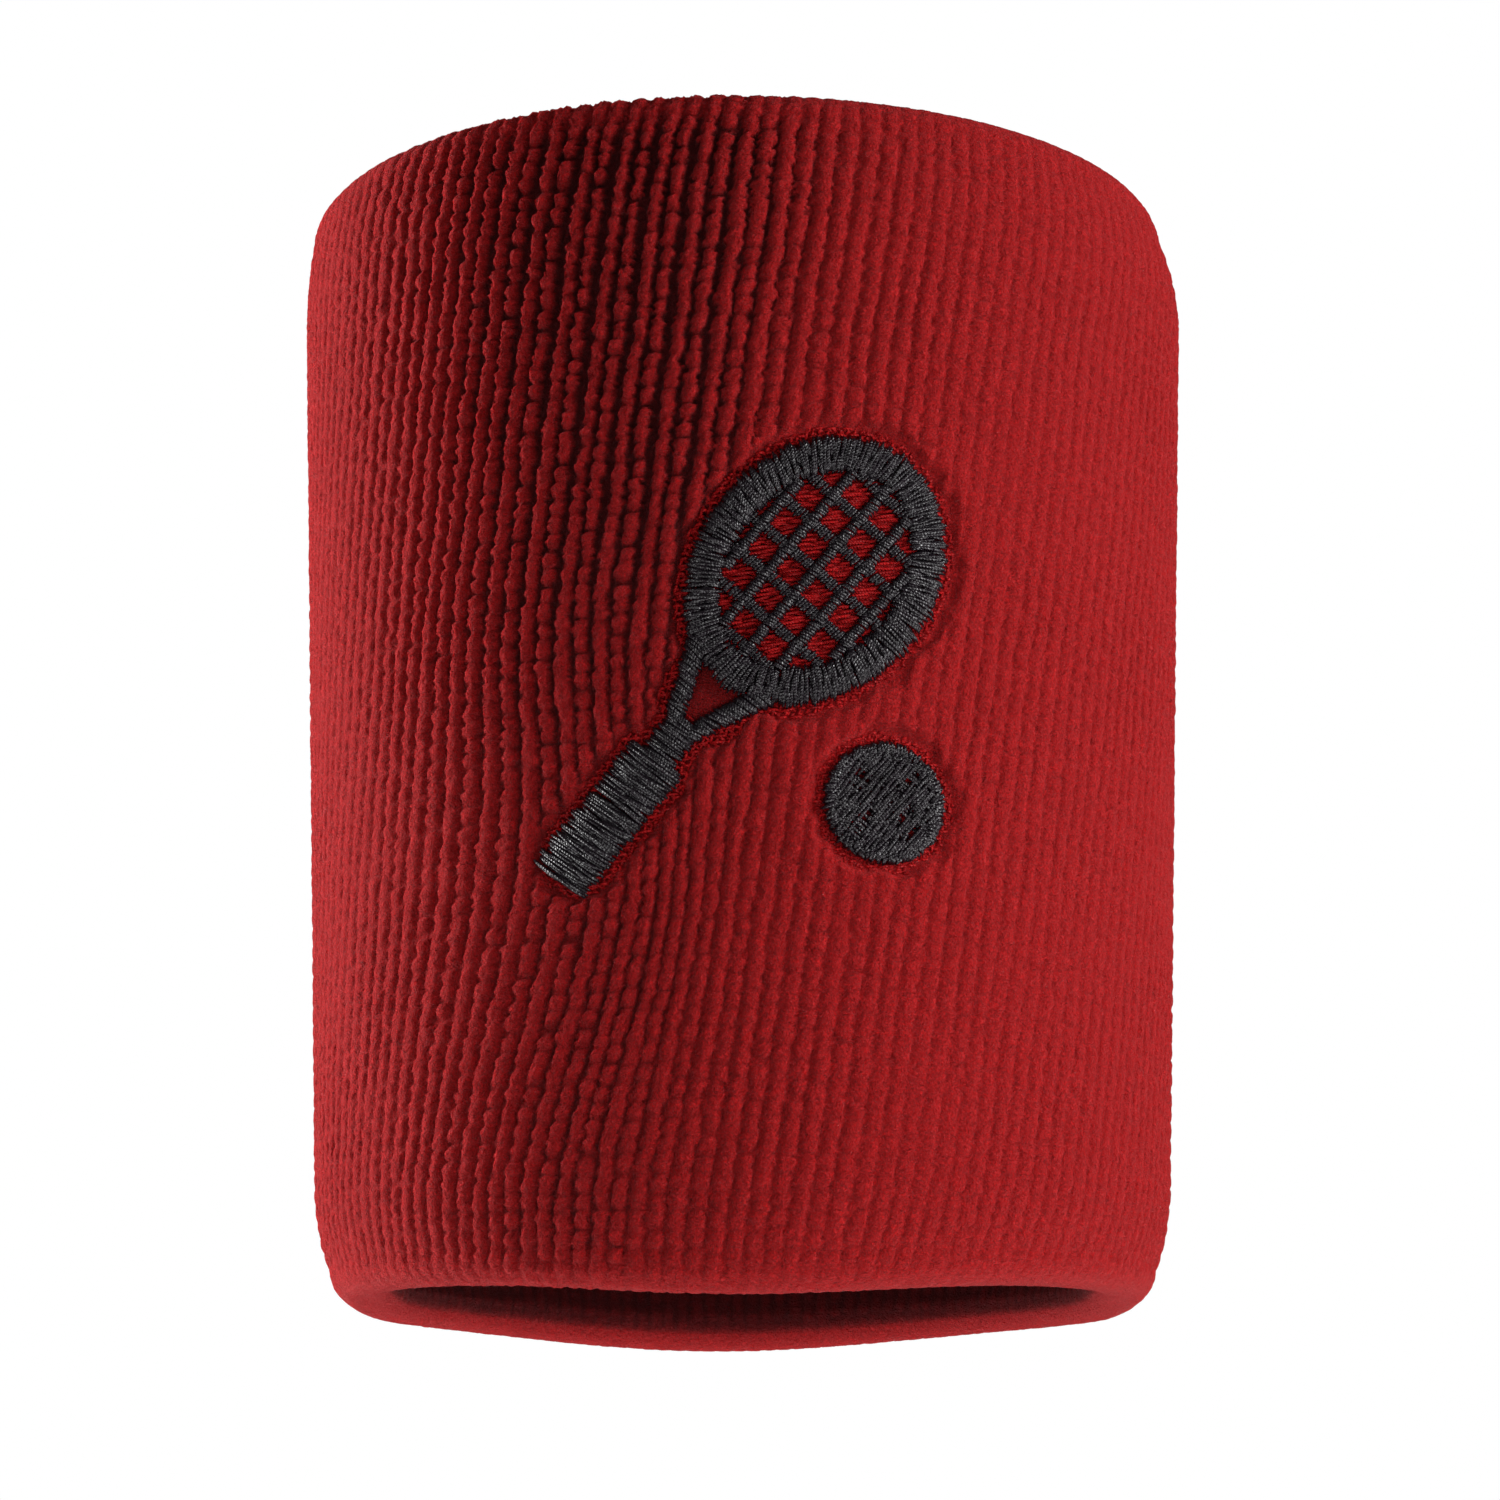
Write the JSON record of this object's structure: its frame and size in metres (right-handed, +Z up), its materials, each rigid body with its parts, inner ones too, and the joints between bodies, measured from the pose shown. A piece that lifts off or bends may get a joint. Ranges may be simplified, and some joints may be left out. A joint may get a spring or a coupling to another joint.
{
  "type": "sweat wristband",
  "caption": "Soft terry wristband: a rib-knit tube folded in on itself and open at both ends, with elastic between its layers, an inner seam and an embroidered racket and ball emblem.",
  "frame": {"origin": "centre of the lower rim, on the plane the band stands on", "axes": "+Z up the band's own axis from the narrower rim to the wider one, -Y towards the emblem, +X to the right as the emblem is seen"},
  "size_m": [0.0612, 0.0612, 0.076],
  "materials": {
    "terry_cloth": "rib-knit cotton terry, soft and matte with a short fuzz",
    "seam_thread": "overlocked sewing thread, satin",
    "elastic": "covered elastic yarn",
    "emblem_thread": "charcoal embroidery thread, satin sheen",
    "border_thread": "red embroidery thread, satin sheen",
    "backing": "non-woven tear-away backing",
    "bobbin_thread": "white bobbin thread"
  },
  "bodies": {
    "root": {"terry_tube": "terry_cloth", "closing_seam_thread": "seam_thread", "elastic_yarn": "elastic", "emblem_racket_frame": "emblem_thread", "emblem_racket_strings": "emblem_thread", "emblem_racket_throat": "emblem_thread", "emblem_racket_grip": "emblem_thread", "emblem_ball": "emblem_thread", "emblem_border_stitches": "border_thread", "embroidery_backing": "backing", "embroidery_bobbin_thread": "bobbin_thread"}
  },
  "joints": []
}
